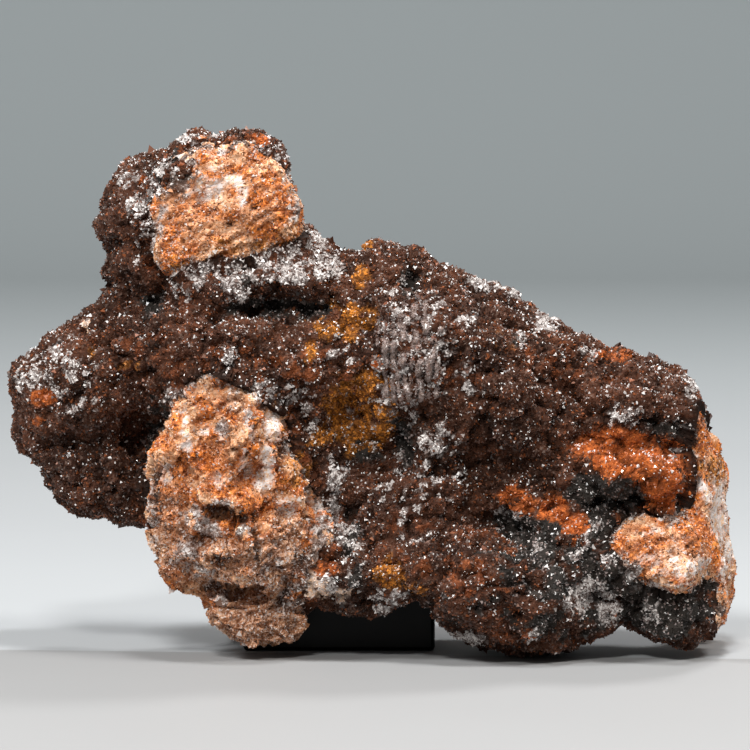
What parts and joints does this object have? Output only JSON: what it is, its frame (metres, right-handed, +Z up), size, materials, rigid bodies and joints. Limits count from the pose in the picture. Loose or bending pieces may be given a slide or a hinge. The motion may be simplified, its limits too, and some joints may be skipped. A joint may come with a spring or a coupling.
{
  "type": "drusy quartz on barite specimen",
  "caption": "Lumpy brown crust of drusy quartz over broken iron-stained barite, resting on a low black display block.",
  "frame": {"origin": "under the middle of the specimen, on the surface that its block stands on", "axes": "+X to the viewer's right along the specimen, -Y towards the viewer and +Z up"},
  "size_m": [0.093, 0.0412, 0.0657],
  "materials": {
    "quartz": "sparkling druse",
    "barite": "broken, iron-stained",
    "block": "polished black"
  },
  "bodies": {
    "root": {"quartz_druse": "quartz", "barite_matrix": "barite", "display_block": "block"}
  },
  "joints": []
}
